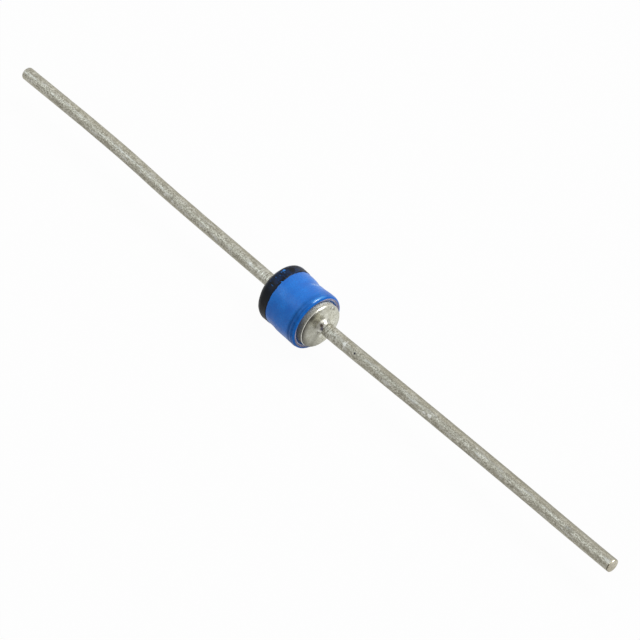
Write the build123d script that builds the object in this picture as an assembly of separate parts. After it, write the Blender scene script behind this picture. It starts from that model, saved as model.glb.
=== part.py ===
"""Axial transient voltage suppressor diode in a fused hard-glass body.

A silicon die is bonded between two solid metal end slugs. A glass sleeve is
melted around the slugs and into the gap about the die, so that no void is left.
A tinned wire lead is brazed to the middle of each slug's outer face. The sleeve
carries a coat of paint, with a dark band over it at the cathode end.

Millimetres. The body's axis is +X, from cathode to anode, +Z is up, and the
origin is the middle of the glass sleeve on that axis.
"""
from build123d import *
from math import radians, tan
import os

# Slugs: each one shows a little beyond its end of the sleeve.
SLUG_DIAMETER = 3.52
SLUG_EDGE_RADIUS = 0.10
ANODE_SLUG_SHOWING = 0.495
CATHODE_SLUG_SHOWING = 0.45

# Die: a round chip whose bevelled rim widens towards the cathode.
DIE_THICKNESS = 0.28
DIE_ANODE_DIAMETER = 2.60
DIE_CATHODE_DIAMETER = 2.90
BOND_THICKNESS = 0.04

# Glass sleeve, the same at both ends: a slight waist between two shoulders, which
# slope to an end ridge, and a crevice from the ridge down to the slug.
GLASS_LENGTH = 3.86
GLASS_WALL = 0.37
GLASS_WAIST_DEPTH = 0.02
GLASS_SLOPE_LENGTH = 0.31
GLASS_SLOPE_DROP = 0.15
GLASS_CREVICE_DEPTH = 0.10

# Paint: a coat with a rounded lip at the anode end, which runs on to the slug at
# the cathode end, and a band over the coat there.
COAT_THICKNESS = 0.09
COAT_LIP_REACH = 0.07
COAT_LIP_RISE = 0.07
COAT_CREASE_SETBACK = 0.10
COAT_CREASE_WIDTH = 0.10
COAT_CREASE_DEPTH = 0.03
COAT_OVERRUN = 0.19
COAT_OVERRUN_THICKNESS = 0.05
BAND_WIDTH = 1.03
BAND_THICKNESS = 0.03

# Leads: straight out of the slug's face, then slightly bent in the XY plane. The
# root of each lead sits a little to the +Y side of the body's axis.
LEAD_DIAMETER = 1.02
LEAD_LENGTH = 28.47
LEAD_TIP_CHAMFER = 0.05
ANODE_ROOT_OFFSET = 0.17
CATHODE_ROOT_OFFSET = 0.058

# Braze: a ring round each lead's root with a hollow flank.
BRAZE_LENGTH = 0.34
BRAZE_FOOT_WIDTH = 0.21
BRAZE_FLANK_RADIUS = 0.42

# Bends of each lead, from its root to its tip: how far out, as a share of the
# lead's length, and how far to the +Y side of the root.
ANODE_BENDS = ((0.053, 0.0), (0.268, 0.30), (0.549, 0.605), (0.725, 0.775), (0.852, 0.862), (1.0, 1.02))
CATHODE_BENDS = ((0.039, 0.0), (0.268, -0.146), (0.458, -0.245), (0.570, -0.191), (0.711, -0.275),
                 (0.830, -0.398), (1.0, -0.606))
BEND_SHARE_OF_RUN = 0.45

# Worked out from the sizes above.
ANODE, CATHODE = 1, -1
SLUG_RADIUS = SLUG_DIAMETER / 2
DIE_FACE_X = DIE_THICKNESS / 2
SLUG_INNER_X = DIE_FACE_X + BOND_THICKNESS
RIDGE_X = GLASS_LENGTH / 2
SLUG_FACE_X = {ANODE: RIDGE_X + ANODE_SLUG_SHOWING, CATHODE: RIDGE_X + CATHODE_SLUG_SHOWING}
SHOULDER_X = RIDGE_X - GLASS_SLOPE_LENGTH
CREVICE_X = RIDGE_X - GLASS_CREVICE_DEPTH
SHOULDER_RADIUS = SLUG_RADIUS + GLASS_WALL
WAIST_RADIUS = SHOULDER_RADIUS - GLASS_WAIST_DEPTH
RIDGE_RADIUS = SHOULDER_RADIUS - GLASS_SLOPE_DROP
COAT_RADIUS = SHOULDER_RADIUS + COAT_THICKNESS
COAT_END_X = RIDGE_X + COAT_OVERRUN
COAT_END_RADIUS = SLUG_RADIUS + COAT_OVERRUN_THICKNESS
LEAD_RADIUS = LEAD_DIAMETER / 2


def path(*points):
    """Straight edges that join (x, radius) points in order."""
    return [Line(start, end) for start, end in zip(points, points[1:])]


def turned(*edges):
    """The solid swept by a closed section, drawn as (x, radius), about the X axis."""
    return revolve(make_face(edges), Axis.X)


def disc(side, inner_x, outer_x, radius):
    """A flat round piece on the body's axis, on the side given."""
    middle = side * (inner_x + outer_x) / 2
    return Pos(middle, 0, 0) * Rot(0, 90, 0) * Cylinder(radius, outer_x - inner_x)


def rounded(side, shoulder_radius, end_x, end_radius):
    """The quarter ellipse that rounds a shoulder of the paint down to its end."""
    centre = (side * SHOULDER_X, end_radius)
    start_angle = 0 if side == ANODE else 90
    return EllipticalCenterArc(centre, end_x - SHOULDER_X, shoulder_radius - end_radius, start_angle)


def waist(thickness):
    """The body's long side between its shoulders, under a thickness of paint."""
    shoulder = SHOULDER_RADIUS + thickness
    return ThreePointArc((-SHOULDER_X, shoulder), (0, WAIST_RADIUS + thickness), (SHOULDER_X, shoulder))


def glass_end(side):
    """The sleeve's end from its shoulder over the ridge and crevice to the axis."""
    return path((side * RIDGE_X, RIDGE_RADIUS), (side * CREVICE_X, SLUG_RADIUS), (side * CREVICE_X, 0))


def outermost_circle(shape, side):
    """The round edge that lies farthest from the body's middle on the side given."""
    return shape.edges().filter_by(GeomType.CIRCLE).sort_by(Axis((0, 0, 0), (-side, 0, 0)))[0]


def slug(side):
    """A solid plug with a rounded outer edge."""
    blank = disc(side, SLUG_INNER_X, SLUG_FACE_X[side], SLUG_RADIUS)
    return fillet(outermost_circle(blank, side), SLUG_EDGE_RADIUS)


def die():
    """The silicon chip, a shallow cone between its two metallised faces."""
    cathode_radius, anode_radius = DIE_CATHODE_DIAMETER / 2, DIE_ANODE_DIAMETER / 2
    return turned(*path((-DIE_FACE_X, 0), (-DIE_FACE_X, cathode_radius), (DIE_FACE_X, anode_radius),
                        (DIE_FACE_X, 0), (-DIE_FACE_X, 0)))


def glass_form():
    """The sleeve's outer form, still solid to the axis."""
    slopes = [path((side * SHOULDER_X, SHOULDER_RADIUS), (side * RIDGE_X, RIDGE_RADIUS))
              + glass_end(side) for side in (CATHODE, ANODE)]
    return turned(waist(0), *slopes[0], *slopes[1], *path((-CREVICE_X, 0), (CREVICE_X, 0)))


def crease():
    """A ring of V section that marks the coat just behind its lip."""
    middle = SHOULDER_X - COAT_CREASE_SETBACK
    left, right = middle - COAT_CREASE_WIDTH / 2, middle + COAT_CREASE_WIDTH / 2
    return turned(*path((left, COAT_RADIUS), (middle, COAT_RADIUS - COAT_CREASE_DEPTH),
                        (right, COAT_RADIUS), (left, COAT_RADIUS)))


def coat_form():
    """The painted body's outer form, still solid to the axis."""
    lip_x, lip_radius = RIDGE_X + COAT_LIP_REACH, RIDGE_RADIUS + COAT_LIP_RISE
    cathode_side = path((-SHOULDER_X, COAT_RADIUS), (-RIDGE_X, RIDGE_RADIUS + COAT_THICKNESS),
                        (-COAT_END_X, COAT_END_RADIUS), (-COAT_END_X, 0))
    anode_side = path((lip_x, lip_radius), (RIDGE_X, RIDGE_RADIUS)) + glass_end(ANODE)
    bulk = turned(waist(COAT_THICKNESS), *cathode_side, rounded(ANODE, COAT_RADIUS, lip_x, lip_radius),
                  *anode_side, *path((-COAT_END_X, 0), (CREVICE_X, 0)))
    return bulk - crease()


def band_form():
    """The band's outer form over the cathode end, still solid to the axis."""
    end_x = COAT_END_X + BAND_THICKNESS
    radius = COAT_RADIUS + BAND_THICKNESS
    over_body = turned(waist(COAT_THICKNESS + BAND_THICKNESS),
                       rounded(CATHODE, radius, end_x, COAT_END_RADIUS),
                       *path((-end_x, COAT_END_RADIUS), (-end_x, 0), (SHOULDER_X, 0), (SHOULDER_X, radius)))
    return over_body & disc(CATHODE, end_x - BAND_WIDTH, end_x, 2 * radius)


def lead(side, root_offset, bends):
    """A round wire, swept along straight runs joined by wide tangent arcs."""
    points = [Vector(side * SLUG_FACE_X[side], root_offset)]
    for share, offset in bends:
        points.append(Vector(side * (SLUG_FACE_X[side] + share * LEAD_LENGTH), root_offset + offset))
    runs = [end - start for start, end in zip(points, points[1:])]
    radii = []
    for before, after in zip(runs, runs[1:]):
        half_turn = radians(before.get_angle(after)) / 2
        radii.append(BEND_SHARE_OF_RUN * min(before.length, after.length) / tan(half_turn))
    root = Plane(points[0], z_dir=(side, 0, 0))
    wire = sweep(root * Circle(LEAD_RADIUS), FilletPolyline(*points, radius=radii))
    return chamfer(outermost_circle(wire, side), LEAD_TIP_CHAMFER)


def braze(side, root_offset):
    """The hollow-sided ring of braze between a slug's face and the lead's root."""
    face_x = SLUG_FACE_X[side]
    foot = (side * face_x, LEAD_RADIUS + BRAZE_FOOT_WIDTH)
    neck = (side * (face_x + BRAZE_LENGTH), LEAD_RADIUS)
    corner = (side * face_x, LEAD_RADIUS)
    ring = turned(RadiusArc(foot, neck, side * BRAZE_FLANK_RADIUS), *path(neck, corner, foot))
    return Pos(0, root_offset, 0) * ring


anode_slug, cathode_slug = slug(ANODE), slug(CATHODE)
silicon_die = die()
anode_die_bond = disc(ANODE, DIE_FACE_X, SLUG_INNER_X, DIE_ANODE_DIAMETER / 2)
cathode_die_bond = disc(CATHODE, DIE_FACE_X, SLUG_INNER_X, DIE_CATHODE_DIAMETER / 2)
glass, coat = glass_form(), coat_form()

parts = {
    "anode_slug": anode_slug,
    "cathode_slug": cathode_slug,
    "silicon_die": silicon_die,
    "anode_die_bond": anode_die_bond,
    "cathode_die_bond": cathode_die_bond,
    "glass_sleeve": glass - [anode_slug, cathode_slug, silicon_die, anode_die_bond, cathode_die_bond],
    "paint_coat": coat - [glass, anode_slug, cathode_slug],
    "cathode_band": band_form() - [coat, cathode_slug],
    "anode_lead": lead(ANODE, ANODE_ROOT_OFFSET, ANODE_BENDS),
    "cathode_lead": lead(CATHODE, CATHODE_ROOT_OFFSET, CATHODE_BENDS),
    "anode_lead_braze": braze(ANODE, ANODE_ROOT_OFFSET),
    "cathode_lead_braze": braze(CATHODE, CATHODE_ROOT_OFFSET),
}

os.makedirs("parts", exist_ok=True)
for name, shape in parts.items():
    export_step(shape, f"parts/{name}.step")
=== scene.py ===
import bmesh
import bpy
import math
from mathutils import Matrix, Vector, noise


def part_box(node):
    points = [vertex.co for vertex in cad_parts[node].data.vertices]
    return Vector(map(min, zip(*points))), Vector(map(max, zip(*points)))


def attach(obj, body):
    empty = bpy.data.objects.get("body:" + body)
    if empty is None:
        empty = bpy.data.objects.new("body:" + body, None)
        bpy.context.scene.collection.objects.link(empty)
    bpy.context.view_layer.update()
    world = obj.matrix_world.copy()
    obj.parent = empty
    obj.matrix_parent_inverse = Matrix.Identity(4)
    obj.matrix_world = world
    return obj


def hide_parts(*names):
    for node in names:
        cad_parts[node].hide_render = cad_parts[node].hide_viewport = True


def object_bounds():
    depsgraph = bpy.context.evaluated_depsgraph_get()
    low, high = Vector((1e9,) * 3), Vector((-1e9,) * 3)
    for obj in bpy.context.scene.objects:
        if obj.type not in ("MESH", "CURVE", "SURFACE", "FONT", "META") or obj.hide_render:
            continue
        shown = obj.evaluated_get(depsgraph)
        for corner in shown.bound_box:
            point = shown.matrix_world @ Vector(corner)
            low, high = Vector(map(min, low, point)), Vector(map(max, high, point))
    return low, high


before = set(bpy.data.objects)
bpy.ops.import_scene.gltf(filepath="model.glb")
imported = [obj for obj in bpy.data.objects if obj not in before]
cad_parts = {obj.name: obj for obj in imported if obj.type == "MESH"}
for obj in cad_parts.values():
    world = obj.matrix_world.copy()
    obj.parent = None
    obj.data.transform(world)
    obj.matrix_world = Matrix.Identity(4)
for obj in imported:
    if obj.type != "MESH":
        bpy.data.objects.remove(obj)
cad_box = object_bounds()

# This script dresses an axial transient voltage suppressor diode. Each CAD piece that
# shows is redrawn at its own size with the finer form of its surface, and every piece
# gets a node material. X runs from the banded cathode end to the anode end, Z is up.

# ---------------------------------------------------------------- sizes, in metres
MM = 0.001
TURN = 2 * math.pi
ANODE, CATHODE = 1, -1

anode_slug_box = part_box("anode_slug")
cathode_slug_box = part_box("cathode_slug")
coat_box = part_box("paint_coat")
glass_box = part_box("glass_sleeve")
band_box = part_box("cathode_band")

# Slugs: the outer faces, the inner faces beside the die, and near the outer face the
# start of the worn edge and the groove inside it.
FACE_X = {ANODE: anode_slug_box[1].x, CATHODE: -cathode_slug_box[0].x}
SLUG_INNER_X = anode_slug_box[0].x
SLUG_RADIUS = anode_slug_box[1].y
EDGE_X = FACE_X[ANODE] - 0.130 * MM
GROOVE_RADIUS = 1.69 * MM

# Glass: its end ridges, the crevices between them and the slugs, its shoulders, the
# hollow of its long side, and the bore that clears the die.
RIDGE_X = glass_box[1].x
CREVICE_X = RIDGE_X - 0.10 * MM
SHOULDER_X = RIDGE_X - 0.31 * MM
SHOULDER_RADIUS = glass_box[1].z
RIDGE_RADIUS = SHOULDER_RADIUS - 0.15 * MM
WAIST_DEPTH = 0.02 * MM
BORE_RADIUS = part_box("silicon_die")[1].y + 0.02 * MM

# Paint coat: its thickness over the ridge, its end on the cathode slug, its lip at the
# anode end, the crease behind the lip and the fainter ripple in it.
COAT_RADIUS = coat_box[1].y
COAT_FILM = 0.09 * MM
COAT_END_X = -coat_box[0].x
COAT_END_RADIUS = SLUG_RADIUS + 0.05 * MM
LIP_X = coat_box[1].x
LIP_RADIUS = RIDGE_RADIUS + 0.08 * MM
CREASE_X = SHOULDER_X - 0.12 * MM
RIPPLE_X = SHOULDER_X + 0.165 * MM

# Dark band: its inner edge lies on the coat, and its end on the cathode slug.
BAND_RADIUS = band_box[1].y
BAND_EDGE_X = band_box[1].x + 0.07 * MM
BAND_END_X = -band_box[0].x

# Both ends of the body are a little out of square to its sides: how far a place moves
# towards -X for each metre that it lies towards +Y and towards +Z. The anode slug has a
# lean of its own.
ANODE_LEAN, CATHODE_LEAN = (0.012, 0.007), (0.039, 0.022)
ANODE_SLUG_LEAN = (0.001, 0.030)

# Leads: how far from the slug's face the tin starts, and where the sheared ends begin.
LEAD_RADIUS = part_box("anode_lead")[1].z
TIN_START = 0.50 * MM
CUT_X = 30.80 * MM

# The leads' routes, from root to tip, in millimetres.
ANODE_ROUTE = ((2.425, 0.17), (3.934, 0.17), (10.055, 0.47), (18.055, 0.775), (23.066, 0.945),
               (26.681, 1.032), (30.892, 1.19))
CATHODE_ROUTE = ((-2.38, 0.058), (-3.49, 0.058), (-10.01, -0.088), (-15.419, -0.187),
                 (-18.608, -0.133), (-22.622, -0.217), (-26.01, -0.34), (-30.847, -0.548))

# The small facet on the anode lead's end: the way it faces, and how far it lies from the
# middle of the end.
NICK_FACING = Vector((0.411, 0.058, 0.910)).normalized()
NICK_REACH = 0.434 * MM

# The angle round the body, from +Y towards +Z, that faces the camera.
VIEW_TURN = math.radians(119.3)


# ---------------------------------------------------------------- geometry helpers
def fractal(point, scale, octaves=3, seed=0.0):
    """Smooth repeatable noise between about -1 and 1, for a place in metres."""
    place = Vector(point) / scale + Vector((seed, 1.7 * seed, -0.6 * seed))
    return noise.fractal(place, 1.0, 2.0, octaves)


def mesh_object(name, vertices, faces, smooth=True):
    mesh = bpy.data.meshes.new(name)
    mesh.from_pydata(vertices, [], faces)
    mesh.validate()
    work = bmesh.new()
    work.from_mesh(mesh)
    bmesh.ops.recalc_face_normals(work, faces=work.faces)
    work.to_mesh(mesh)
    work.free()
    if smooth:
        mesh.polygons.foreach_set("use_smooth", [True] * len(mesh.polygons))
    obj = bpy.data.objects.new(name, mesh)
    bpy.context.scene.collection.objects.link(obj)
    return obj


def place(x, radius, angle, centre_y=0.0):
    """A point on a ring about the body's axis; angle 0 is +Y and a quarter turn is +Z."""
    return Vector((x, centre_y + radius * math.cos(angle), radius * math.sin(angle)))


def clamped(value):
    return max(0.0, min(1.0, value))


def eased(value, low, high):
    """A smooth step from 0 at low to 1 at high."""
    share = clamped((value - low) / (high - low))
    return share * share * (3 - 2 * share)


def leaning(spot, anode_lean):
    """Moves a place along X by the lean of its end. The body's middle stays."""
    lean_y, lean_z = anode_lean if spot.x > 0 else CATHODE_LEAN
    share = clamped((abs(spot.x) - 0.3 * MM) / (1.0 * MM))
    return spot + Vector((-share * (lean_y * spot.y + lean_z * spot.z), 0, 0))


def tube_faces(rings, segments, closed):
    """The quads between rings of points. A closed tube joins its last ring to its first,
    and an open one gets a flat cap on each end."""
    faces = []
    for ring in range(rings if closed else rings - 1):
        a, b = ring * segments, (ring + 1) % rings * segments
        for step in range(segments):
            after = (step + 1) % segments
            faces.append((a + step, a + after, b + after, b + step))
    if not closed:
        faces.append(tuple(range(segments)))
        faces.append(tuple(range((rings - 1) * segments, rings * segments)))
    return faces


def lathe(name, profile, segments, shape, closed=True, centre_y=0.0, anode_lean=ANODE_LEAN):
    """Turns (x, radius) points about the axis. shape moves a point, given its ring's
    number, its place and its angle, and returns a new (x, radius)."""
    vertices = []
    for ring, (x, radius) in enumerate(profile):
        for step in range(segments):
            angle = TURN * step / segments
            spot = place(*shape(ring, x, radius, angle), angle, centre_y)
            vertices.append(leaning(spot, anode_lean))
    return mesh_object(name, vertices, tube_faces(len(profile), segments, closed))


def runs(*stops):
    """Straight runs through (x, radius, count) stops, without the last one. count divides
    the run that follows its stop."""
    points = []
    for (x, radius, count), (end_x, end_radius, _) in zip(stops, stops[1:]):
        points += [(x + (end_x - x) * i / count, radius + (end_radius - radius) * i / count)
                   for i in range(count)]
    return points


def quarter(start, end, count):
    """Points on a quarter ellipse that leaves start along x, up to, but without, end."""
    points = []
    for i in range(count):
        along, across = math.sin(TURN / 4 * i / count), 1 - math.cos(TURN / 4 * i / count)
        points.append((start[0] + (end[0] - start[0]) * along,
                       start[1] + (end[1] - start[1]) * across))
    return points


def waist_radius(x, shoulder):
    """The slightly hollow side of the body between its shoulders."""
    return shoulder - WAIST_DEPTH * max(0.0, 1 - (x / SHOULDER_X) ** 2)


def finish_piece(obj, slot, material, *nodes):
    """Gives a piece its finish, ties it to the body and hides the solids it stands for."""
    obj.data.materials.clear()
    obj.data.materials.append(material)
    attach(obj, "root")
    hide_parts(*nodes)


# ---------------------------------------------------------------- material helpers
class Tree:
    """Adds nodes to the node tree of a material or of the world."""

    def __init__(self, tree):
        self.nodes, self.links = tree.nodes, tree.links

    def feed(self, socket, value):
        """Puts a node's output, a number or a colour into a socket."""
        if hasattr(value, "is_output"):
            self.links.new(value, socket)
        elif hasattr(value, "__len__"):
            socket.default_value = (list(value) + [1.0])[:len(socket.default_value)]
        else:
            socket.default_value = value

    def add(self, kind, inputs, operation=None):
        """A new node of a kind, with its inputs fed by name or by number."""
        node = self.nodes.new("ShaderNode" + kind)
        if operation:
            node.operation = operation
        for name, value in inputs.items():
            self.feed(node.inputs[name], value)
        return node

    def sums(self, operation, a, b=0.0, c=0.0):
        """Arithmetic on up to three numbers or outputs."""
        return self.add("Math", {0: a, 1: b, 2: c}, operation).outputs[0]

    def times(self, a, b):
        return self.sums("MULTIPLY", a, b)

    def seen_directly(self, to_camera, to_metal):
        """to_camera for what the camera sees straight, to_metal for what it sees in a
        mirror or through glass, and 0 for the light that falls on dull surfaces."""
        ray = self.add("LightPath", {}).outputs
        metal_ray = self.sums("MAXIMUM", ray["Is Glossy Ray"], ray["Is Transmission Ray"])
        return self.sums("MAXIMUM", self.times(ray["Is Camera Ray"], to_camera),
                         self.times(metal_ray, to_metal))

    def blend_into(self, output, factor, dark_specks_and_painted_shade, bright):
        """Sends a mix of two shaders to the tree's output."""
        mixed = self.add("MixShader", {0: factor, 1: dark_specks_and_painted_shade.outputs[0], 2: bright.outputs[0]})
        self.links.new(mixed.outputs[0], self.nodes[output].inputs["Surface"])


class Finish(Tree):
    """A node material made step by step; every texture lies in the part's own frame."""

    def __init__(self, name):
        self.material = bpy.data.materials.new(name)
        self.material.use_nodes = True
        super().__init__(self.material.node_tree)
        self.shader = self.nodes["Principled BSDF"]
        self.where = self.add("TexCoord", {}).outputs["Object"]
        self.x, self.y, self.z = self.add("SeparateXYZ", {0: self.where}).outputs
        self.outward = self.sums("ABSOLUTE", self.x)

    def vector(self, operation, a, b=(0, 0, 0)):
        """Arithmetic on one or two vectors."""
        return self.add("VectorMath", {0: a, 1: b}, operation).outputs

    def noise(self, grain, detail, rough, stretch=(1, 1, 1)):
        """Cloudy noise whose patches measure about grain millimetres. A stretch below 1
        draws them out along that axis."""
        return self.add("TexNoise", {"Vector": self.vector("MULTIPLY", self.where, stretch)[0],
                                     "Scale": 1 / (grain * MM), "Detail": detail,
                                     "Roughness": rough}).outputs["Fac"]

    def cells(self, size, stretch):
        """The distance from the nearest middle of cells of about size millimetres."""
        return self.add("TexVoronoi", {"Vector": self.vector("MULTIPLY", self.where, stretch)[0],
                                       "Scale": 1 / (size * MM)}).outputs["Distance"]

    def ramp(self, value, *stops):
        """Maps 0..1 through (position, colour or grey) stops."""
        node = self.add("ValToRGB", {0: value})
        ramp = node.color_ramp
        while len(ramp.elements) < len(stops):
            ramp.elements.new(0.5)
        for element, (position, colour) in zip(ramp.elements, stops):
            element.position = position
            grey = not hasattr(colour, "__len__")
            element.color = (colour, colour, colour, 1) if grey else (*colour, 1)
        return node.outputs[0]

    def remap(self, value, low, high, to_low=0.0, to_high=1.0):
        """Maps low..high on to to_low..to_high, and holds it there beyond both ends."""
        node = self.add("MapRange", dict(enumerate((value, low, high, to_low, to_high))))
        node.clamp = True
        return node.outputs[0]

    def between(self, value, low, full, full_until, high):
        """1 from full to full_until, fading out to 0 at low and at high."""
        return self.times(self.remap(value, low, full), self.remap(value, high, full_until))

    def beside(self, value, centre):
        """How far a value is from a centre, on either side of it."""
        return self.sums("ABSOLUTE", self.sums("SUBTRACT", value, centre))

    def from_axis(self):
        """The distance from the body's axis."""
        return self.sums("SQRT", self.sums("ADD", self.sums("POWER", self.y, 2.0),
                                           self.sums("POWER", self.z, 2.0)))

    def around(self):
        """The angle about the body's axis as a share of a turn: +Y is 0.5, +Z is 0.75."""
        angle = self.sums("ARCTAN2", self.z, self.y)
        return self.sums("MULTIPLY_ADD", angle, 1 / TURN, 0.5)

    def mix(self, factor, a, b, mode="MIX"):
        """b over a by a factor, or multiplied into it."""
        node = self.nodes.new("ShaderNodeMix")
        node.data_type = "RGBA"
        node.blend_type = mode
        for socket, value in ((0, factor), (6, a), (7, b)):
            self.feed(node.inputs[socket], value)
        return node.outputs[2]

    def dab(self, base, at, size, shade, strength, squash=(1, 1, 1), ragged=0.9):
        """Marks a place, in millimetres, with an uneven spot of about the size given. A
        squash below 1 draws it out along that axis."""
        away = self.vector("SUBTRACT", self.where, [value * MM for value in at])[0]
        reach = self.vector("LENGTH", self.vector("MULTIPLY", away, squash)[0])["Value"]
        rag = self.sums("SUBTRACT", self.noise(max(0.05, 0.9 * size), 2.0, 0.6), 0.5)
        edge = self.sums("MULTIPLY_ADD", rag, 2.0 * ragged * size * MM, reach)
        share = self.remap(edge, 1.25 * size * MM, 0.65 * size * MM, 0.0, strength)
        return self.mix(share, base, shade)

    def bump(self, *heights):
        """Stacks (height, depth in millimetres) pairs into one bumped normal."""
        normal = None
        for height, depth in heights:
            node = self.add("Bump", {"Strength": 1.0, "Distance": depth * MM, "Height": height})
            if normal:
                self.links.new(normal, node.inputs["Normal"])
            normal = node.outputs[0]
        return normal

    def set(self, **sockets):
        """Feeds the surface's own inputs, named with _ for a space."""
        for name, value in sockets.items():
            self.feed(self.shader.inputs[name.replace("_", " ")], value)
        return self.material


def lead_spot(route_y, x, angle):
    """A place on a lead's surface, in millimetres: the route's Y there, the X, and degrees
    round the lead from +Y."""
    turn, radius = math.radians(angle), LEAD_RADIUS / MM
    return (x, route_y + radius * math.cos(turn), radius * math.sin(turn))


def band_spot(x, angle):
    """A place on the band, in millimetres: the X, and degrees round the body from +Y."""
    turn, radius = math.radians(angle), BAND_RADIUS / MM
    return (x, radius * math.cos(turn), radius * math.sin(turn))


def tinned_wire():
    f = Finish("tinned_wire")
    grain = f.noise(0.080, 2.0, 0.6, (0.6, 1, 1))
    blotch = f.noise(0.36, 3.0, 0.6, (0.55, 1, 1))
    streak = f.noise(0.18, 2.0, 0.6, (0.16, 1, 1))
    pits = f.remap(f.cells(0.20, (0.8, 1, 1)), 0.06, 0.18, 0.45, 0.0)
    base = f.ramp(grain, (0.34, (0.23, 0.217, 0.172)), (0.50, (0.47, 0.455, 0.38)),
                  (0.66, (0.76, 0.75, 0.665)))
    base = f.mix(f.remap(blotch, 0.45, 0.62, 0.0, 0.55), base, (0.34, 0.32, 0.255))
    base = f.mix(f.remap(streak, 0.54, 0.66, 0.0, 0.55), base, (0.65, 0.66, 0.635))
    base = f.mix(f.remap(streak, 0.45, 0.34, 0.0, 0.45), base, (0.27, 0.255, 0.205))
    base = f.mix(pits, base, (0.19, 0.175, 0.14))
    # Within about 2 mm of the body the tin is uneven and paler, in rings round the wire.
    rings = f.noise(0.12, 2.0, 0.6, (1.0, 0.25, 0.25))
    near = f.remap(f.outward, 4.7 * MM, 3.6 * MM)
    base = f.mix(f.times(near, f.remap(rings, 0.50, 0.58, 0.0, 0.80)), base, (0.84, 0.84, 0.77))
    base = f.mix(f.times(near, f.remap(rings, 0.46, 0.38, 0.0, 0.60)), base, (0.22, 0.21, 0.17))
    # Painted shade darkens the lower part of the wire, fading out near its top.
    low = f.remap(f.z, 0.0, 0.40 * MM, 0.50, 0.0)
    base = f.mix(low, base, (0.56, 0.53, 0.46), "MULTIPLY")
    # height is how far above the middle of its lead a place lies, as the camera sees it.
    anode_slope, cathode_slope = 0.0378, 0.0185
    middle = f.times(f.sums("MAXIMUM", f.x, 0.0), anode_slope)
    middle = f.sums("MULTIPLY_ADD", f.sums("MINIMUM", f.x, 0.0), cathode_slope, middle)
    middle = f.sums("ADD", middle, f.remap(f.x, -1 * MM, 1 * MM, 0.123 * MM, 0.025 * MM))
    height = f.sums("MULTIPLY_ADD", f.z, 0.56, f.sums("SUBTRACT", f.y, middle))
    # Painted shade darkens the top of the tin near the body, and on the upper side towards the
    # anode lead's tip.
    along = f.remap(f.x, -31 * MM, 31 * MM)
    upper = f.remap(height, 0.11 * MM, 0.23 * MM)
    top_painted_shade = f.ramp(along, (0.10, 0.0), (0.45, 0.20), (0.63, 0.25), (0.82, 0.46))
    near_painted_shade = f.ramp(along, (0.10, 0.0), (0.42, 0.06), (0.54, 0.26), (0.66, 0.26), (0.80, 0.06))
    painted_top_shade = f.mix(upper, near_painted_shade, top_painted_shade)
    base = f.mix(f.times(f.remap(f.z, 0.30 * MM, 0.42 * MM), painted_top_shade), base, (0.20, 0.19, 0.155))
    # A painted reflection makes it paler along its lower edge, and painted shade, warm in tone,
    # makes it darker along its upper one.
    base = f.mix(f.remap(height, -0.42 * MM, -0.56 * MM, 0.0, 0.24), base, (0.95, 0.91, 0.74))
    base = f.mix(f.remap(height, 0.20 * MM, 0.45 * MM, 0.0, 0.30), base, (0.46, 0.43, 0.315))
    # The tin starts a little way out of the braze, at a dull ragged edge.
    ragged = f.sums("MULTIPLY_ADD", rings, 0.10 * MM, f.outward)
    off_seam = f.beside(ragged, FACE_X[ANODE] + TIN_START + 0.01 * MM)
    seam = f.remap(off_seam, 0.05 * MM, 0.015 * MM, 0.0, 0.8)
    base = f.mix(seam, base, (0.10, 0.09, 0.08))
    # A few pale flakes and dark specks.
    flake, dark_specks_and_painted_shade = (0.80, 0.80, 0.76), (0.13, 0.12, 0.10)
    for at, size, shade, strength, squash in (
            (lead_spot(0.21, 4.97, 118), 0.11, flake, 0.65, (0.8, 1, 1)),
            (lead_spot(0.20, 5.02, 96), 0.11, flake, 0.60, (1.9, 0.6, 0.6)),
            (lead_spot(0.21, 5.04, 140), 0.09, flake, 0.55, (1.9, 0.6, 0.6)),
            (lead_spot(0.62, 13.10, 146), 0.10, flake, 0.75, (0.7, 1.2, 1.2)),
            (lead_spot(0.64, 13.58, 140), 0.13, flake, 0.80, (0.7, 1.1, 1.1)),
            (lead_spot(0.77, 17.92, 95), 0.06, flake, 0.60, (0.6, 1, 1)),
            (lead_spot(-0.165, -14.3, 148), 0.09, flake, 0.55, (0.6, 1, 1)),
            (lead_spot(-0.15, -13.45, 150), 0.08, flake, 0.50, (0.6, 1, 1)),
            (lead_spot(-0.01, -5.05, 118), 0.09, flake, 0.55, (1.4, 0.7, 0.7)),
            (lead_spot(0.00, -4.15, 120), 0.07, flake, 0.60, (1.5, 0.5, 0.5)),
            (lead_spot(0.25, 6.06, 124), 0.075, (0.03, 0.03, 0.05), 0.95, (1, 1, 1)),
            (lead_spot(0.88, 21.3, 122), 0.07, dark_specks_and_painted_shade, 0.50, (0.6, 1, 1)),
            (lead_spot(1.04, 26.97, 118), 0.17, dark_specks_and_painted_shade, 0.35, (0.5, 1, 1)),
            (lead_spot(-0.15, -13.6, 126), 0.10, dark_specks_and_painted_shade, 0.45, (0.7, 1, 1))):
        base = f.dab(base, at, size, shade, strength, squash)
    rough = f.ramp(blotch, (0.35, 0.50), (0.65, 0.42))
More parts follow.
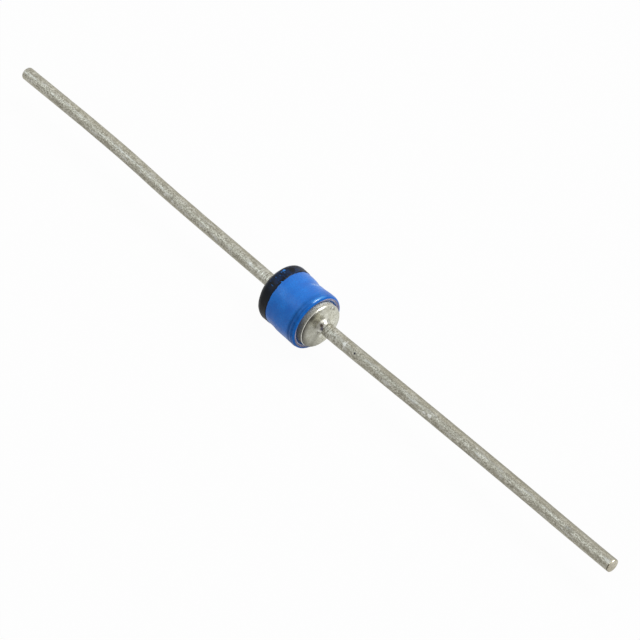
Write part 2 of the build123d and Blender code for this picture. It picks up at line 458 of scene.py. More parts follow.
    # The sheared ends are smoother and paler than the tin. Painted shade darkens the lower part of
    # each end, and a dark rim of painted shade runs round the anode lead's end but for its top.
    cut = f.remap(f.outward, CUT_X - 0.06 * MM, CUT_X)
    base = f.mix(f.times(cut, 0.85), base,
                 f.ramp(grain, (0.35, (0.42, 0.385, 0.29)), (0.65, (0.80, 0.75, 0.60))))
    shaded = f.remap(height, 0.12 * MM, -0.10 * MM, 0.0, 0.35)
    base = f.mix(f.times(cut, shaded), base, (0.33, 0.29, 0.20))
    painted_end_rim_shade = f.between(f.x, CUT_X - 0.030 * MM, CUT_X - 0.005 * MM, CUT_X + 0.045 * MM,
                     CUT_X + 0.065 * MM)
    painted_end_rim_shade = f.times(painted_end_rim_shade, f.remap(f.z, 0.44 * MM, 0.38 * MM, 0.0, 0.9))
    base = f.mix(painted_end_rim_shade, base, (0.045, 0.04, 0.035))
    rough = f.mix(cut, rough, (0.24, 0.24, 0.24))
    normal = f.bump((grain, 0.005), (blotch, 0.012), (streak, 0.006))
    return f.set(Base_Color=base, Metallic=1.0, Roughness=rough, Normal=normal)


def slug_metal():
    f = Finish("slug_metal")
    cloud = f.noise(0.50, 3.0, 0.6)
    grain = f.noise(0.10, 2.0, 0.6)
    fleck = f.noise(0.19, 2.0, 0.6)
    turned = f.noise(0.05, 2.0, 0.6, (1.0, 1.0, 0.12))
    from_axis, around = f.from_axis(), f.around()
    base = f.ramp(cloud, (0.32, (0.78, 0.77, 0.64)), (0.55, (0.90, 0.895, 0.77)),
                  (0.72, (0.98, 0.98, 0.87)))
    # Painted reflections and shade on the turned face: it is darker on its -Y side and in sectors
    # round the axis, with a dark painted reflection, the wedge, near the edge above that.
    painted_face_light = f.ramp(around, (0.00, 0.60), (0.042, 0.61), (0.083, 0.58), (0.15, 0.46),
                    (0.208, 0.66), (0.26, 0.86), (0.30, 1.0), (0.333, 0.78), (0.375, 1.0),
                    (0.417, 0.90), (0.458, 1.0), (0.55, 1.0), (0.625, 0.95), (0.667, 0.97),
                    (0.708, 0.88), (0.75, 0.88), (0.792, 1.0), (0.840, 1.0), (0.875, 0.72),
                    (0.917, 0.43), (0.958, 0.56))
    base = f.mix(1.0, base, painted_face_light, "MULTIPLY")
    painted_dark_wedge = f.ramp(around, (0.785, 0.0), (0.822, 1.0), (0.840, 1.0), (0.865, 0.0))
    painted_dark_wedge = f.times(painted_dark_wedge, f.remap(from_axis, 1.00 * MM, 1.45 * MM, 0.0, 0.74))
    base = f.mix(painted_dark_wedge, base, (0.13, 0.125, 0.11))
    base = f.mix(f.remap(fleck, 0.50, 0.64, 0.0, 0.45), base, (0.40, 0.385, 0.30))
    base = f.mix(f.remap(grain, 0.52, 0.64, 0.0, 0.60), base, (0.33, 0.32, 0.25))
    # Dirt and painted shade lie in the groove and fade inwards, most of them on the -Y side.
    ragged = f.sums("MULTIPLY_ADD", f.sums("SUBTRACT", fleck, 0.5), 0.07 * MM, from_axis)
    line = f.remap(f.beside(ragged, GROOVE_RADIUS + 0.01 * MM), 0.055 * MM, 0.020 * MM)
    blur = f.remap(ragged, GROOVE_RADIUS - 0.42 * MM, GROOVE_RADIUS, 0.0, 0.85)
    inner = f.remap(ragged, GROOVE_RADIUS + 0.035 * MM, GROOVE_RADIUS + 0.015 * MM)
    groove_dirt_and_shade = f.sums("MAXIMUM", line, f.times(blur, inner))
    where = f.ramp(around, (0.05, 0.85), (0.12, 0.45), (0.20, 0.10), (0.60, 0.10), (0.72, 0.22),
                   (0.78, 0.55), (0.83, 0.95), (0.97, 0.90))
    base = f.mix(f.times(groove_dirt_and_shade, where), base, (0.055, 0.05, 0.045))
    # A bright fleck and a dark one on the face. Round the knock near its edge lie three spots of
    # painted shade, and a painted highlight in its middle.
    face = FACE_X[ANODE] / MM
    base = f.dab(base, (face, -0.06, -0.86), 0.11, (0.95, 0.95, 0.86), 0.75)
    base = f.dab(base, (face, -0.32, -0.48), 0.05, (0.10, 0.09, 0.08), 0.70)
    for y, z, size, shade, strength in (
            (0.945, 1.215, 0.10, (0.24, 0.21, 0.17), 0.75),
            (1.225, 0.920, 0.10, (0.26, 0.25, 0.20), 0.65),
            (1.245, 1.085, 0.08, (0.26, 0.25, 0.20), 0.55),
            (1.090, 1.145, 0.09, (1.0, 1.0, 0.95), 0.95)):
        base = f.dab(base, (face - 0.025, y, z), size, shade, strength, (0.2, 1, 1), 0.4)
    # The worn edge is bright, and the side wall dull.
    edge = f.remap(from_axis, GROOVE_RADIUS + 0.030 * MM, GROOVE_RADIUS + 0.036 * MM)
    side = f.remap(f.outward, EDGE_X + 0.015 * MM, EDGE_X - 0.010 * MM)
    wall = f.remap(from_axis, SLUG_RADIUS - 0.02 * MM, SLUG_RADIUS - 0.014 * MM)
    wall = f.times(wall, side)
    bright = f.ramp(fleck, (0.35, (0.62, 0.61, 0.55)), (0.60, (0.86, 0.855, 0.79)))
    base = f.mix(edge, base, bright)
    matt = f.ramp(cloud, (0.35, (0.94, 0.91, 0.76)), (0.65, (1.0, 0.975, 0.82)))
    # Painted light and shade round the side wall, and painted light that grows deeper in towards
    # the crevice, against the shade there.
    wall_tone_and_painted_light = f.ramp(around, (0.00, 0.26), (0.20, 0.50), (0.55, 0.62), (0.667, 0.88), (0.736, 0.80),
                   (0.778, 0.62), (0.806, 0.50), (0.847, 0.44), (0.903, 0.30), (0.950, 0.24))
    painted_crevice_light = f.remap(f.x, EDGE_X, CREVICE_X + 0.10 * MM, 0.72, 1.15)
    wall_tone_and_painted_light = f.mix(1.0, wall_tone_and_painted_light, painted_crevice_light, "MULTIPLY")
    # The banded end's side wall is paler and less like metal.
    banded_end = f.remap(f.x, 0.0, -1.0 * MM)
    wall_tone_and_painted_light = f.mix(banded_end, wall_tone_and_painted_light, (0.98, 0.98, 0.93))
    matt = f.mix(1.0, matt, wall_tone_and_painted_light, "MULTIPLY")
    matt = f.mix(f.remap(grain, 0.50, 0.60, 0.0, 0.60), matt, (0.17, 0.155, 0.12))
    matt = f.mix(f.remap(fleck, 0.54, 0.64, 0.0, 0.30), matt, (0.62, 0.60, 0.50))
    base = f.mix(wall, base, matt)
    rough = f.ramp(cloud, (0.35, 0.36), (0.65, 0.27))
    rough = f.mix(edge, rough, (0.20, 0.20, 0.20))
    rough = f.mix(wall, rough, (0.46, 0.46, 0.46))
    metal = f.sums("MULTIPLY_ADD", wall, f.sums("MULTIPLY_ADD", banded_end, -0.25, -0.72), 1.0)
    normal = f.bump((grain, 0.005), (turned, 0.002), (fleck, 0.010), (cloud, 0.025))
    return f.set(Base_Color=base, Metallic=metal, Roughness=rough, Normal=normal)


def braze():
    f = Finish("braze")
    cloud = f.noise(0.22, 3.0, 0.6)
    base = f.ramp(cloud, (0.35, (0.50, 0.49, 0.43)), (0.65, (0.70, 0.69, 0.62)))
    # Painted shade darkens its upper -Y side.
    dark_specks_and_painted_shade = f.ramp(f.around(), (0.74, 0.0), (0.80, 0.50), (0.93, 0.50), (0.98, 0.0))
    base = f.mix(dark_specks_and_painted_shade, base, (0.22, 0.21, 0.18))
    # Dark stains on its upper side, and painted shade on the top of its foot.
    face = FACE_X[ANODE] / MM
    base = f.dab(base, (face + 0.22, -0.11, 0.42), 0.135, (0.075, 0.055, 0.045), 0.95)
    base = f.dab(base, (face + 0.36, -0.26, 0.26), 0.135, (0.075, 0.07, 0.105), 0.90)
    base = f.dab(base, (face + 0.14, 0.13, 0.56), 0.06, (0.20, 0.17, 0.13), 0.60)
    base = f.dab(base, (face + 0.05, 0.25, 0.60), 0.15, (0.36, 0.35, 0.31), 0.95,
                 (1, 1, 1), 0.5)
    # The foot is as dull as the slug, with painted shade on its upper -Y side, and the neck is
    # smooth.
    foot = f.remap(f.outward, FACE_X[ANODE] + 0.16 * MM, FACE_X[ANODE] + 0.09 * MM)
    painted_foot_shade = f.ramp(f.around(), (0.72, 0.0), (0.78, 0.22), (0.86, 0.22), (0.90, 0.50),
                       (0.97, 0.0))
    base = f.mix(f.times(foot, painted_foot_shade), base, (0.24, 0.23, 0.19))
    rough = f.mix(foot, f.ramp(cloud, (0.35, 0.18), (0.65, 0.12)), (0.46, 0.46, 0.46))
    return f.set(Base_Color=base, Metallic=1.0, Roughness=rough, Normal=f.bump((cloud, 0.010)))


def blue_paint():
    f = Finish("blue_paint")
    cloud = f.noise(0.8, 3.0, 0.55, (1.0, 0.8, 0.8))
    grain = f.noise(0.09, 2.0, 0.6)
    peel = f.noise(0.30, 2.0, 0.5)
    base = f.ramp(cloud, (0.30, (0.009, 0.150, 0.610)), (0.55, (0.011, 0.193, 0.712)),
                  (0.75, (0.016, 0.236, 0.810)))
    base = f.mix(f.remap(grain, 0.46, 0.66, 0.0, 0.65), base, (0.008, 0.125, 0.540))
    # Painted shade darkens the crease and the ripple, most on the -Y side, and the paint there is
    # less glossy.
    around = f.around()
    lower = f.ramp(around, (0.10, 1.0), (0.30, 0.5), (0.62, 0.35), (0.76, 0.50), (0.86, 1.0))
    folds = []
    for centre, width, strength in ((CREASE_X, 0.27, 0.74), (RIPPLE_X, 0.17, 0.68)):
        off = f.beside(f.x, centre)
        ragged = f.sums("MULTIPLY_ADD", f.sums("SUBTRACT", peel, 0.5), 0.16 * MM, off)
        dark_specks_and_painted_shade = f.times(f.remap(ragged, width * MM, 0.0), lower)
        base = f.mix(f.times(dark_specks_and_painted_shade, strength), base, (0.002, 0.058, 0.225))
        folds.append(dark_specks_and_painted_shade)
    # A short painted highlight beside the dent.
    for at, size, strength in (((0.40, 1.40, 1.68), 0.13, 0.62), ((0.31, 1.22, 1.82), 0.12, 0.52),
                               ((0.24, 1.07, 1.91), 0.10, 0.32)):
        base = f.dab(base, at, size, (0.46, 0.68, 0.95), strength, (1, 1, 1), 0.6)
    # Where the coat's edge is broken off it is pale.
    bared = f.ramp(around, (0.07, 0.9), (0.20, 0.5), (0.55, 0.6), (0.64, 1.0), (0.70, 0.9),
                   (0.745, 0.0), (0.93, 0.0), (0.99, 0.8))
    reach = f.sums("MULTIPLY_ADD", bared, -0.10 * MM, f.from_axis())
    broken = f.times(f.remap(f.x, LIP_X - 0.16 * MM, LIP_X - 0.12 * MM),
                     f.remap(reach, 2.000 * MM, 1.980 * MM))
    base = f.mix(f.times(broken, 0.90), base, (0.52, 0.49, 0.68))
    rough = f.ramp(cloud, (0.35, 0.34), (0.65, 0.27))
    # The lip is glossiest along the top of its bead, where a painted highlight lightens the paint.
    # Lower down and at its edge it is dull.
    bead = f.between(f.x, LIP_X - 0.31 * MM, LIP_X - 0.25 * MM, LIP_X - 0.17 * MM,
                     LIP_X - 0.12 * MM)
    bead = f.times(bead, f.ramp(around, (0.67, 0.0), (0.71, 1.0), (0.755, 1.0), (0.775, 0.0)))
    base = f.mix(f.times(bead, 0.7), base, (0.060, 0.420, 0.950))
    rough = f.mix(bead, rough, (0.075, 0.075, 0.075))
    shine = f.ramp(around, (0.0, 0.34), (0.03, 0.60), (0.30, 0.55), (0.63, 0.55), (0.70, 0.46),
                   (0.80, 0.38), (0.88, 0.28), (0.96, 0.24))
    shine = f.mix(f.times(f.sums("MAXIMUM", *folds), 0.7), shine, (0.08, 0.08, 0.08))
    lip = f.remap(f.x, LIP_X - 0.17 * MM, LIP_X - 0.10 * MM)
    shine = f.mix(lip, shine, (0.10, 0.10, 0.10))
    shine = f.mix(bead, shine, (0.95, 0.95, 0.95))
    peel_height = f.mix(bead, peel, (0.5, 0.5, 0.5))
    grain_height = f.mix(bead, grain, (0.5, 0.5, 0.5))
    normal = f.bump((peel_height, 0.008), (grain_height, 0.0015))
    return f.set(Base_Color=base, Roughness=rough, Normal=normal, Specular_IOR_Level=shine)


def band_paint():
    f = Finish("band_paint")
    cloud = f.noise(0.5, 3.0, 0.6)
    speck = f.noise(0.12, 2.0, 0.55, (0.8, 1, 1))
    patch = f.noise(0.75, 1.0, 0.5)
    base = f.ramp(cloud, (0.35, (0.0040, 0.0052, 0.0085)), (0.65, (0.0070, 0.0098, 0.0170)))
    upper = f.remap(f.sums("ADD", f.z, f.times(f.y, 0.5)), 0.8 * MM, 2.0 * MM)
    thin = f.times(f.remap(cloud, 0.42, 0.60, 0.0, 0.8), upper)
    base = f.mix(thin, base, (0.008, 0.026, 0.080))
    lower = f.ramp(f.around(), (0.05, 1.0), (0.15, 0.0), (0.88, 0.0), (0.97, 1.0))
    base = f.mix(f.times(lower, 0.8), base, (0.0110, 0.0098, 0.0082))
    missed = f.times(f.remap(speck, 0.60, 0.68, 0.0, 0.45), f.remap(patch, 0.48, 0.56))
    base = f.mix(f.times(missed, upper), base, (0.015, 0.110, 0.400))
    # Places that the brush missed, where the blue shows through.
    for at, size, strength, squash in (
            (band_spot(-1.78, 86), 0.090, 0.95, (1, 0.8, 1)),
            (band_spot(-1.78, 92), 0.060, 0.60, (1, 1, 1)),
            (band_spot(-1.90, 96), 0.055, 0.22, (1, 1, 1)),
            (band_spot(-1.57, 89), 0.050, 0.25, (0.6, 1, 1)),
            (band_spot(-1.69, 107), 0.050, 0.15, (0.6, 1, 1)),
            (band_spot(-1.47, 122), 0.050, 0.38, (0.5, 1.6, 1)),
            (band_spot(-1.80, 118), 0.045, 0.20, (0.6, 1.2, 1)),
            (band_spot(-1.60, 99), 0.045, 0.25, (0.6, 1, 1))):
        base = f.dab(base, at, size, (0.030, 0.230, 0.700), strength, squash, 1.3)
    rough = f.ramp(cloud, (0.35, 0.42), (0.65, 0.30))
    return f.set(Base_Color=base, Roughness=rough, Normal=f.bump((speck, 0.008), (cloud, 0.01)),
                 Specular_IOR_Level=0.15)


def sleeve_glass():
    f = Finish("sleeve_glass")
    cloud = f.noise(0.25, 3.0, 0.6)
    # The ridge is pale where no paint lies on it, and the crevice below it is deep blue.
    ridge = f.remap(f.from_axis(), 1.87 * MM, 1.93 * MM)
    rim = f.ramp(cloud, (0.35, (0.62, 0.60, 0.78)), (0.65, (0.78, 0.74, 0.90)))
    painted = f.ramp(f.around(), (0.715, 0.0), (0.745, 0.9), (0.93, 0.9), (0.98, 0.0))
    rim = f.mix(painted, rim, (0.010, 0.120, 0.450))
    base = f.mix(ridge, (0.020, 0.160, 0.600), rim)
    rough = f.ramp(cloud, (0.35, 0.25), (0.65, 0.15))
    return f.set(Base_Color=base, Roughness=rough, Normal=f.bump((cloud, 0.01)), Coat_Weight=0.3)


def silicon():
    f = Finish("silicon")
    cloud = f.noise(0.3, 2.0, 0.5)
    lapped = f.noise(0.03, 2.0, 0.6)
    base = f.ramp(cloud, (0.35, (0.085, 0.090, 0.105)), (0.65, (0.125, 0.130, 0.150)))
    return f.set(Base_Color=base, Metallic=0.6, Roughness=f.ramp(lapped, (0.3, 0.30), (0.7, 0.42)),
                 Normal=f.bump((lapped, 0.002)))


def bond_metal():
    f = Finish("bond_metal")
    cloud = f.noise(0.2, 2.0, 0.5)
    base = f.ramp(cloud, (0.35, (0.36, 0.35, 0.32)), (0.65, (0.52, 0.51, 0.47)))
    return f.set(Base_Color=base, Metallic=1.0, Roughness=f.ramp(cloud, (0.3, 0.45), (0.7, 0.33)),
                 Normal=f.bump((cloud, 0.01)))


WIRE, SLUG, BRAZE, BLUE = tinned_wire(), slug_metal(), braze(), blue_paint()
BAND, GLASS, SILICON, BOND = band_paint(), sleeve_glass(), silicon(), bond_metal()


# ---------------------------------------------------------------- body pieces
def settled(x, angle):
    """The anode half of the painted glass sits slightly lower than the cathode half, as
    the part is seen: how much its radius changes at an angle."""
    amount = eased(x, -0.62 * MM, 0.10 * MM) * (1 - 0.7 * eased(x, 0.5 * MM, 1.6 * MM))
    dip = max(0.0, 1 - ((x - 0.12 * MM) / (0.40 * MM)) ** 2) ** 2
    up = math.sin(VIEW_TURN - angle)
    depth = 0.062 * amount + (0.030 * dip if up > 0 else 0.0)
    return -depth * MM * up * abs(up) ** 1.2


def make_coat():
    """The blue paint over the glass: an even film with a bead at the anode end, fine
    creases behind the bead, and a slight sag here and there."""
    end_rings = 3
    outer = (runs((-COAT_END_X, SLUG_RADIUS, end_rings), (-COAT_END_X, COAT_END_RADIUS, 8),
                  (-RIDGE_X, RIDGE_RADIUS + COAT_FILM, 10), (-SHOULDER_X, COAT_RADIUS, 76),
                  (CREASE_X - 0.11 * MM, COAT_RADIUS, 14), (SHOULDER_X, COAT_RADIUS, 0))
             + quarter((SHOULDER_X, COAT_RADIUS), (LIP_X, LIP_RADIUS), 34)
             + runs((LIP_X, LIP_RADIUS, 5), (RIDGE_X, RIDGE_RADIUS, 0)))
    inner = runs((RIDGE_X, RIDGE_RADIUS, 4), (SHOULDER_X, SHOULDER_RADIUS, 16),
                 (-SHOULDER_X, SHOULDER_RADIUS, 4), (-RIDGE_X, RIDGE_RADIUS, 3),
                 (-CREVICE_X, SLUG_RADIUS, 3), (-COAT_END_X, SLUG_RADIUS, 0))
    skin = len(outer)

    def groove(x, centre, half, depth, spot, seed):
        share = eased(half - abs(x - centre), 0.0, half)
        return depth * share * max(0.0, 0.85 + 0.35 * fractal(spot, 0.9 * MM, seed=seed))

    def shape(ring, x, radius, angle):
        if ring >= skin:
            return (x, waist_radius(x, radius)) if abs(x) < SHOULDER_X else (x, radius)
        spot = place(x, radius, angle)
        if abs(x) < SHOULDER_X:
            radius = waist_radius(x, radius)
        bead = eased(x, 0.6 * MM, 1.4 * MM)
        sag = 0.008 * MM * (fractal(spot, 1.6 * MM, 2, seed=1) - 0.8)
        peel = 0.0012 * MM * fractal(spot, 0.16 * MM, 2, seed=2)
        peel *= 1 - eased(x, 1.3 * MM, 1.5 * MM)
        uneven = bead * 0.007 * MM * (fractal(spot, 1.1 * MM, 2, seed=4) + 3.2)
        if radius > SLUG_RADIUS + 0.01 * MM and ring > end_rings:
            radius = min(radius + sag + peel + uneven, BAND_RADIUS - 0.004 * MM)
            radius += settled(x, angle)
            lower = eased(math.sin(angle - VIEW_TURN), -0.50, 0.0)
            radius -= groove(x, CREASE_X, 0.12 * MM, (0.008 + 0.014 * lower) * MM, spot, 3)
            radius -= lower * groove(x, RIPPLE_X, 0.100 * MM, 0.024 * MM, spot, 17)
        if x > RIDGE_X + 0.01 * MM:
            x += 0.010 * MM * (fractal(spot, 0.8 * MM, 2, seed=5) - 0.6)
        return x, radius

    coat = lathe("blue_coat", outer + inner, segments=288, shape=shape)
    finish_piece(coat, "blue_paint", BLUE, "paint_coat")


def make_band():
    """The dark cathode band: a brushed ring of paint with a slightly ragged inner edge."""
    outer = (runs((BAND_EDGE_X, COAT_RADIUS, 6), (BAND_EDGE_X - 0.05 * MM, BAND_RADIUS, 12),
                  (-SHOULDER_X, BAND_RADIUS, 0))
             + quarter((-SHOULDER_X, BAND_RADIUS), (-BAND_END_X, COAT_END_RADIUS), 26)
             + runs((-BAND_END_X, COAT_END_RADIUS, 3), (-BAND_END_X, SLUG_RADIUS, 0)))
    inner = runs((-BAND_END_X, SLUG_RADIUS, 2), (-COAT_END_X, SLUG_RADIUS, 2),
                 (-COAT_END_X, COAT_END_RADIUS, 3), (-RIDGE_X, RIDGE_RADIUS + COAT_FILM, 3),
                 (-SHOULDER_X, COAT_RADIUS, 6), (BAND_EDGE_X, COAT_RADIUS, 0))
    skin = len(outer)
    notch_at, notch_half = 105.4, 1.6    # degrees from +Y

    def shape(ring, x, radius, angle):
        spot = place(x, radius, angle)
        if abs(x) < SHOULDER_X:
            radius = waist_radius(x, radius)
        near_edge = max(0.0, 1 - (BAND_EDGE_X - x) / (0.45 * MM))
        edge = place(0.0, BAND_RADIUS, angle)
        ragged = 0.030 * fractal(edge, 0.9 * MM, 3, seed=6)
        ragged += 0.022 * fractal(edge, 0.22 * MM, 2, seed=7)
        notch = max(0.0, 1 - abs(math.degrees(angle) - notch_at) / notch_half)
        x += near_edge * (ragged - 0.13 * notch) * MM
        if ring < skin and radius > COAT_END_RADIUS + 0.01 * MM:
            radius += 0.006 * MM * (fractal(spot, 0.35 * MM, 3, seed=8) - 1.0)
        elif ring >= skin and radius > SLUG_RADIUS + 0.02 * MM:
            radius -= 0.015 * MM    # sunk into the coat, so that no gap shows
        return x, radius

    band = lathe("dark_band", outer + inner, segments=320, shape=shape)
    finish_piece(band, "band_paint", BAND, "cathode_band")


def make_glass():
    """The glass sleeve: hidden under the paint, but for its rounded ridge and the narrow
    crevice that it leaves round the anode slug."""
    step = 0.02 * MM
    half = runs((CREVICE_X, SLUG_RADIUS + step, 8), (RIDGE_X, RIDGE_RADIUS - 0.05 * MM, 3),
                (RIDGE_X - step, RIDGE_RADIUS, 6), (SHOULDER_X, SHOULDER_RADIUS, 0))
    outer = half + runs((SHOULDER_X, SHOULDER_RADIUS, 14), (-SHOULDER_X, SHOULDER_RADIUS, 0))
    mirrored = [(-x, radius) for x, radius in reversed(half)]
    slug_side = [(CREVICE_X - step, SLUG_RADIUS), (SLUG_INNER_X + step, SLUG_RADIUS),
                 (SLUG_INNER_X, SLUG_RADIUS - step)]
    bore = ([(-x, radius) for x, radius in slug_side]
            + [(-SLUG_INNER_X + step, BORE_RADIUS), (SLUG_INNER_X - step, BORE_RADIUS)]
            + list(reversed(slug_side)))
    uneven_rings = 14

    def shape(ring, x, radius, angle):
        spot = place(x, radius, angle)
        if abs(x) < SHOULDER_X and radius > SLUG_RADIUS + 0.05 * MM:
            return x, waist_radius(x, radius)
        if 0 < ring < uneven_rings:
            radius += 0.010 * MM * fractal(spot, 0.7 * MM, 2, seed=9)
        return x, radius

    glass = lathe("glass_tube", outer + mirrored + bore, segments=224, shape=shape)
    finish_piece(glass, "sleeve_glass", GLASS, "glass_sleeve")


def make_slug(name, side, node):
    """A turned metal slug: a narrow worn edge, a groove inside it and a face with small
    knocks. side is ANODE or CATHODE."""
    face = FACE_X[side]
    front, rim = face - 0.05 * MM, 0.065 * MM
    # The edge and the groove: millimetres beyond the face and in from the side wall.
    edge = [(-0.158, 0.000), (-0.146, 0.002), (-0.134, 0.005), (-0.122, 0.010), (-0.106, 0.017),
            (-0.090, 0.024), (-0.074, 0.031), (-0.058, 0.038), (-0.044, 0.044), (-0.034, 0.049),
            (-0.026, 0.053), (-0.020, 0.059), (-0.024, 0.065), (-0.030, 0.071), (-0.030, 0.080),
            (-0.025, 0.092), (-0.019, 0.108), (-0.014, 0.128), (-0.010, 0.155), (-0.007, 0.190),
            (-0.004, 0.240), (-0.001, 0.310)]
    knock = Vector((side * face, 1.12 * MM, 1.028 * MM))
    core, chamfer = 0.08 * MM, 0.01 * MM
    profile = (runs((SLUG_INNER_X, core, 4), (SLUG_INNER_X, SLUG_RADIUS - chamfer, 2),
                    (SLUG_INNER_X + chamfer, SLUG_RADIUS, 4), (CREVICE_X, SLUG_RADIUS, 10),
                    (face - 0.16 * MM, SLUG_RADIUS, 0))
               + [(face + dx * MM, SLUG_RADIUS - drop * MM) for dx, drop in edge]
               + runs((face, SLUG_RADIUS - 0.37 * MM, 50), (face, core, 0)))

    def shape(ring, x, radius, angle):
        spot = place(side * x, radius, angle)
        if x > front and radius < SLUG_RADIUS - rim:
            inside = eased(SLUG_RADIUS - radius, rim, 0.30 * MM)
            x -= inside * 0.050 * MM * max(0.0, 1 - ((spot - knock).length / (0.22 * MM)) ** 2)
            knocks = max(0.0, fractal(spot, 0.42 * MM, 2, seed=10 + side) - 0.35)
            x -= inside * 0.030 * MM * knocks
            x -= inside * 0.004 * MM * (1 + fractal(spot, 1.1 * MM, 2, seed=13 + side))
            x -= inside * 0.002 * MM * (fractal(spot, 0.10 * MM, 2, seed=12) + 1)
        if CREVICE_X < x < front:
            radius -= 0.002 * MM * (1 + fractal(spot, 0.25 * MM, 2, seed=14))
        if side == CATHODE:    # its rim is worn back, most of all at the top
            sunk = eased(x, CREVICE_X, face) * eased(radius, 1.0 * MM, 1.6 * MM)
            x -= sunk * (0.020 + 0.026 * max(0.0, math.sin(angle))) * MM
        return side * x, radius

    slug = lathe(name, profile, segments=224, shape=shape, closed=False,
                 anode_lean=ANODE_SLUG_LEAN)
    finish_piece(slug, "slug_metal", SLUG, node)


def make_braze(name, side, centre_y, node):
    """The small hollow fillet of brazing metal between a slug and its lead."""
    face = FACE_X[side]
    # The hollow flank: millimetres beyond the foot and from the lead's middle.
    flank = [(0.53, 0.470), (0.48, 0.473), (0.43, 0.480), (0.37, 0.495), (0.31, 0.517),
             (0.25, 0.542), (0.20, 0.563), (0.15, 0.584), (0.11, 0.601), (0.075, 0.618),
             (0.045, 0.636), (0.020, 0.657), (0.000, 0.690), (-0.030, 0.700)]
    profile = [(face - 0.030 * MM + dx * MM, radius * MM) for dx, radius in flank]
    inside = 0.44 * MM
    profile = [(face + 0.50 * MM, inside)] + profile + [(face - 0.06 * MM, inside)]

    def shape(ring, x, radius, angle):
        spot = place(side * x, radius, angle)
        if 1 < ring < len(flank) - 1:
            reach = min(1.0, (radius - 0.48 * MM) / (0.3 * MM))
            edge = place(0, 0.8 * MM, angle)
            radius += reach * 0.05 * MM * fractal(edge, 0.6 * MM, 2, seed=15 + side)
            x += 0.003 * MM * fractal(spot, 0.25 * MM, 2, seed=16)
        return side * x, radius

    fillet = lathe(name, profile, segments=128, shape=shape, centre_y=centre_y)
    divide = fillet.modifiers.new("smooth", "SUBSURF")
    divide.levels = divide.render_levels = 1
    finish_piece(fillet, "braze", BRAZE, node)


# ---------------------------------------------------------------- leads
def smooth_route(corners, spacing):
    """Even points along a smooth curve that the corners steer, as quadratic runs."""
    corners = [Vector((x, y, 0)) * MM for x, y in corners]
    steps, fine = 80, []
    for i in range(1, len(corners) - 1):
        corner = corners[i]
        start = corners[0] if i == 1 else (corners[i - 1] + corner) / 2
        end = corners[-1] if i == len(corners) - 2 else (corner + corners[i + 1]) / 2
        fine += [start.lerp(corner, t / steps).lerp(corner.lerp(end, t / steps), t / steps)
                 for t in range(steps)]
    fine.append(corners[-1])
    total = sum((b - a).length for a, b in zip(fine, fine[1:]))
    count = round(total / spacing)
    even, run, goal = [], 0.0, 0.0
    for a, b in zip(fine, fine[1:]):
        step = (b - a).length
        while goal <= run + step + 1e-9 and len(even) <= count:
            even.append(a.lerp(b, (goal - run) / step))
            goal = total * len(even) / count
        run += step
    return even


def lead_rings(corners, tin_start, edge):
    """The rings of a lead from its root to the middle of its end, as (centre, direction,
    share of the full radius). They lie closer up to where the tin starts."""
    centres = smooth_route(corners, 0.07 * MM)
    rings = []
    for i, centre in enumerate(centres):
        if i and abs(centre.x) < tin_start + 0.15 * MM:
            middle = (centre + centres[i - 1]) / 2
            rings.append((middle, (centre - centres[i - 1]).normalized(), 1.0))
        ahead, behind = centres[min(i + 1, len(centres) - 1)], centres[max(i - 1, 0)]
        rings.append((centre, (ahead - behind).normalized(), 1.0))
    tip, along, _ = rings.pop()
    while (rings[-1][0] - tip).length < edge:
        rings.pop()
    steps = 8
    for i in range(steps + 1):
        s, c = math.sin(TURN / 4 * i / steps), math.cos(TURN / 4 * i / steps)
        rings.append((tip - along * edge * (1 - s), along, 1 - (edge / LEAD_RADIUS) * (1 - c)))
    flat = rings[-1][2]
    rings += [(tip, along, flat * (1 - i / steps)) for i in range(1, steps)]
    return rings


def make_lead(name, side, corners, seed, edge, node):
    """A tinned copper wire along its route, with shallow dents, a drawn grain and a
    sheared tip whose edge is rounded by edge."""
    tin_start = FACE_X[side] + TIN_START
    rings = lead_rings(corners, tin_start, edge)
    tip, flat = rings[-1][0], 1 - edge / LEAD_RADIUS
    up, segments, vertices = Vector((0, 0, 1)), 72, []
    for centre, along, share in rings:
        side_way = up.cross(along).normalized()
        for step in range(segments):
            angle = TURN * step / segments
            out = side_way * math.cos(angle) + up * math.sin(angle)
            spot = centre + out * LEAD_RADIUS * share
            drawn = Vector((spot.x * 0.35, spot.y, spot.z))
            dent = 0.010 * MM * max(0.0, fractal(drawn, 0.55 * MM, 2, seed) - 0.20)
            grain = 0.0018 * MM * (1 + fractal(drawn, 0.13 * MM, 2, seed + 1))
            wave = 0.0012 * MM * (1 + fractal(spot, 2.2 * MM, 1, seed + 2))
            edge_x = tin_start + 0.05 * MM * fractal(out * MM, 0.8 * MM, 2, seed + 4)
            bare = clamped((edge_x - abs(spot.x)) / (0.05 * MM))
            depth = (dent + grain + wave) if share > 0.99 else 0.0035 * MM
            depth += 0.045 * MM * bare ** 2
            skin = centre + out * (LEAD_RADIUS - depth) * share
            beyond = (skin - tip).dot(NICK_FACING) - NICK_REACH
            if side == ANODE and beyond > 0 and (skin - tip).length < 0.8 * MM:
                skin -= NICK_FACING * beyond
            if share < flat - 0.001:
                rough = 1 + fractal(spot, 0.30 * MM, 2, seed + 3)
                skin -= along * 0.012 * MM * rough / 2
            vertices.append(skin)
    lead = mesh_object(name, vertices, tube_faces(len(rings), segments, closed=False))
    finish_piece(lead, "tinned_wire", WIRE, node)


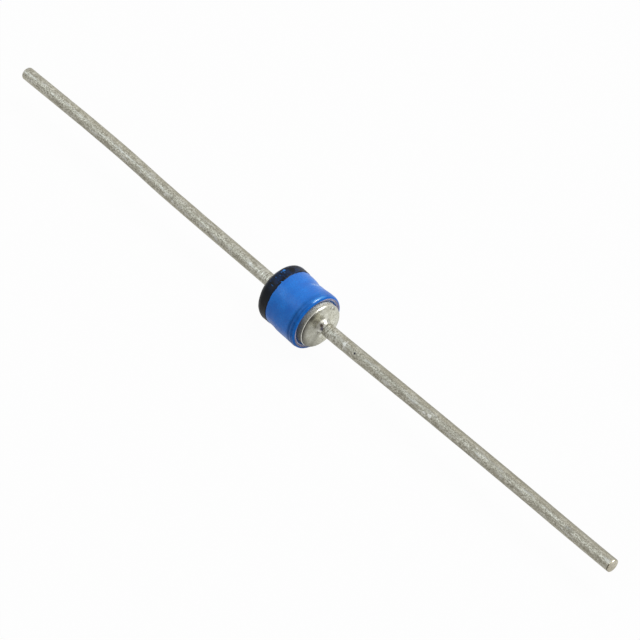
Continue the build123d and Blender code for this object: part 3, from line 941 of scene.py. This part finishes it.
make_coat()
make_band()
make_glass()
make_slug("anode_end_slug", ANODE, "anode_slug")
make_slug("cathode_end_slug", CATHODE, "cathode_slug")
make_braze("anode_fillet", ANODE, ANODE_ROUTE[0][1] * MM, "anode_lead_braze")
make_braze("cathode_fillet", CATHODE, CATHODE_ROUTE[0][1] * MM, "cathode_lead_braze")
make_lead("anode_wire", ANODE, ANODE_ROUTE, seed=21.0, edge=0.055 * MM, node="anode_lead")
make_lead("cathode_wire", CATHODE, CATHODE_ROUTE, seed=31.0, edge=0.20 * MM, node="cathode_lead")

# The solids inside the body keep their CAD form and only get a finish.
for node, material in (("silicon_die", SILICON), ("anode_die_bond", BOND),
                       ("cathode_die_bond", BOND)):
    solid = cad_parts[node]
    solid.data.materials.clear()
    solid.data.materials.append(material)


# ---------------------------------------------------------------- floor, light and camera
def make_floor():
    """A plain pale floor that the camera sees as white."""
    half, ground = 1.5, cad_box[0].z
    floor = mesh_object("studio_floor", [(-half, -half, ground), (half, -half, ground),
                                         (half, half, ground), (-half, half, ground)],
                        [(0, 1, 2, 3)], smooth=False)
    material = bpy.data.materials.new("studio_floor")
    material.use_nodes = True
    tree = Tree(material.node_tree)
    paint = tree.nodes["Principled BSDF"]
    for name, value in (("Base Color", (0.57, 0.57, 0.57)), ("Roughness", 0.9),
                        ("Specular IOR Level", 0.1)):
        tree.feed(paint.inputs[name], value)
    glow = tree.add("Emission", {"Color": (1, 1, 1)})
    bright = tree.seen_directly(to_camera=0.97, to_metal=0.58)
    tree.blend_into("Material Output", bright, paint, glow)
    floor.data.materials.append(material)


def make_world():
    """A plain room: white where the camera looks, a little dimmer in reflections."""
    world = bpy.data.worlds.new("studio")
    world.use_nodes = True
    bpy.context.scene.world = world
    tree = Tree(world.node_tree)
    room = tree.nodes["Background"]
    for name, value in (("Color", (1, 1, 1)), ("Strength", 0.42)):
        tree.feed(room.inputs[name], value)
    white = tree.add("Background", {"Color": (1, 1, 1), "Strength": 1.0})
    bright = tree.seen_directly(to_camera=1.0, to_metal=0.62)
    tree.blend_into("World Output", bright, room, white)


def soft_light(name, towards, distance, width, radiance, tint):
    """A round softbox that faces the part, as bright as radiance times a white wall."""
    lamp = bpy.data.lights.new(name, "AREA")
    lamp.shape = "DISK"
    lamp.size = width
    lamp.color = tint
    lamp.energy = radiance * math.pi * math.pi * (width / 2) ** 2
    obj = bpy.data.objects.new(name, lamp)
    bpy.context.scene.collection.objects.link(obj)
    obj.location = Vector(towards).normalized() * distance
    obj.rotation_euler = Vector(towards).to_track_quat("Z", "Y").to_euler()


# The camera: its direction, its distance and its shifts in metres, and its lens and the
# width of its sensor in millimetres.
VIEW_AZIMUTH, VIEW_ELEVATION = math.radians(49.71), math.radians(49.05)
VIEW_DISTANCE, VIEW_RIGHT, VIEW_UP = 0.257, 1.49 * MM, -0.92 * MM
LENS, SENSOR = 205.7, 36.0


def make_camera():
    """A camera at the photo's viewing angle."""
    sin_a, cos_a = math.sin(VIEW_AZIMUTH), math.cos(VIEW_AZIMUTH)
    sin_e, cos_e = math.sin(VIEW_ELEVATION), math.cos(VIEW_ELEVATION)
    back = Vector((sin_a * cos_e, -cos_a * cos_e, sin_e))
    right = Vector((cos_a, sin_a, 0))
    up = back.cross(right)
    data = bpy.data.cameras.new("camera")
    data.lens, data.sensor_width = LENS, SENSOR
    data.clip_start, data.clip_end = 0.005, 20.0
    camera = bpy.data.objects.new("camera", data)
    bpy.context.scene.collection.objects.link(camera)
    camera.location = back * VIEW_DISTANCE + right * VIEW_RIGHT + up * VIEW_UP
    camera.rotation_euler = back.to_track_quat("Z", "Y").to_euler()
    bpy.context.scene.camera = camera


make_floor()
make_world()
soft_light("rear_softbox", towards=(0.20, 0.521, 0.830), distance=1.0, width=0.60,
           radiance=7.0, tint=(1.0, 1.0, 1.0))
soft_light("side_softbox", towards=(-0.50, -0.42, 0.755), distance=1.0, width=0.56,
           radiance=1.10, tint=(0.80, 0.93, 1.0))
make_camera()
bpy.context.scene.view_settings.view_transform = "Standard"
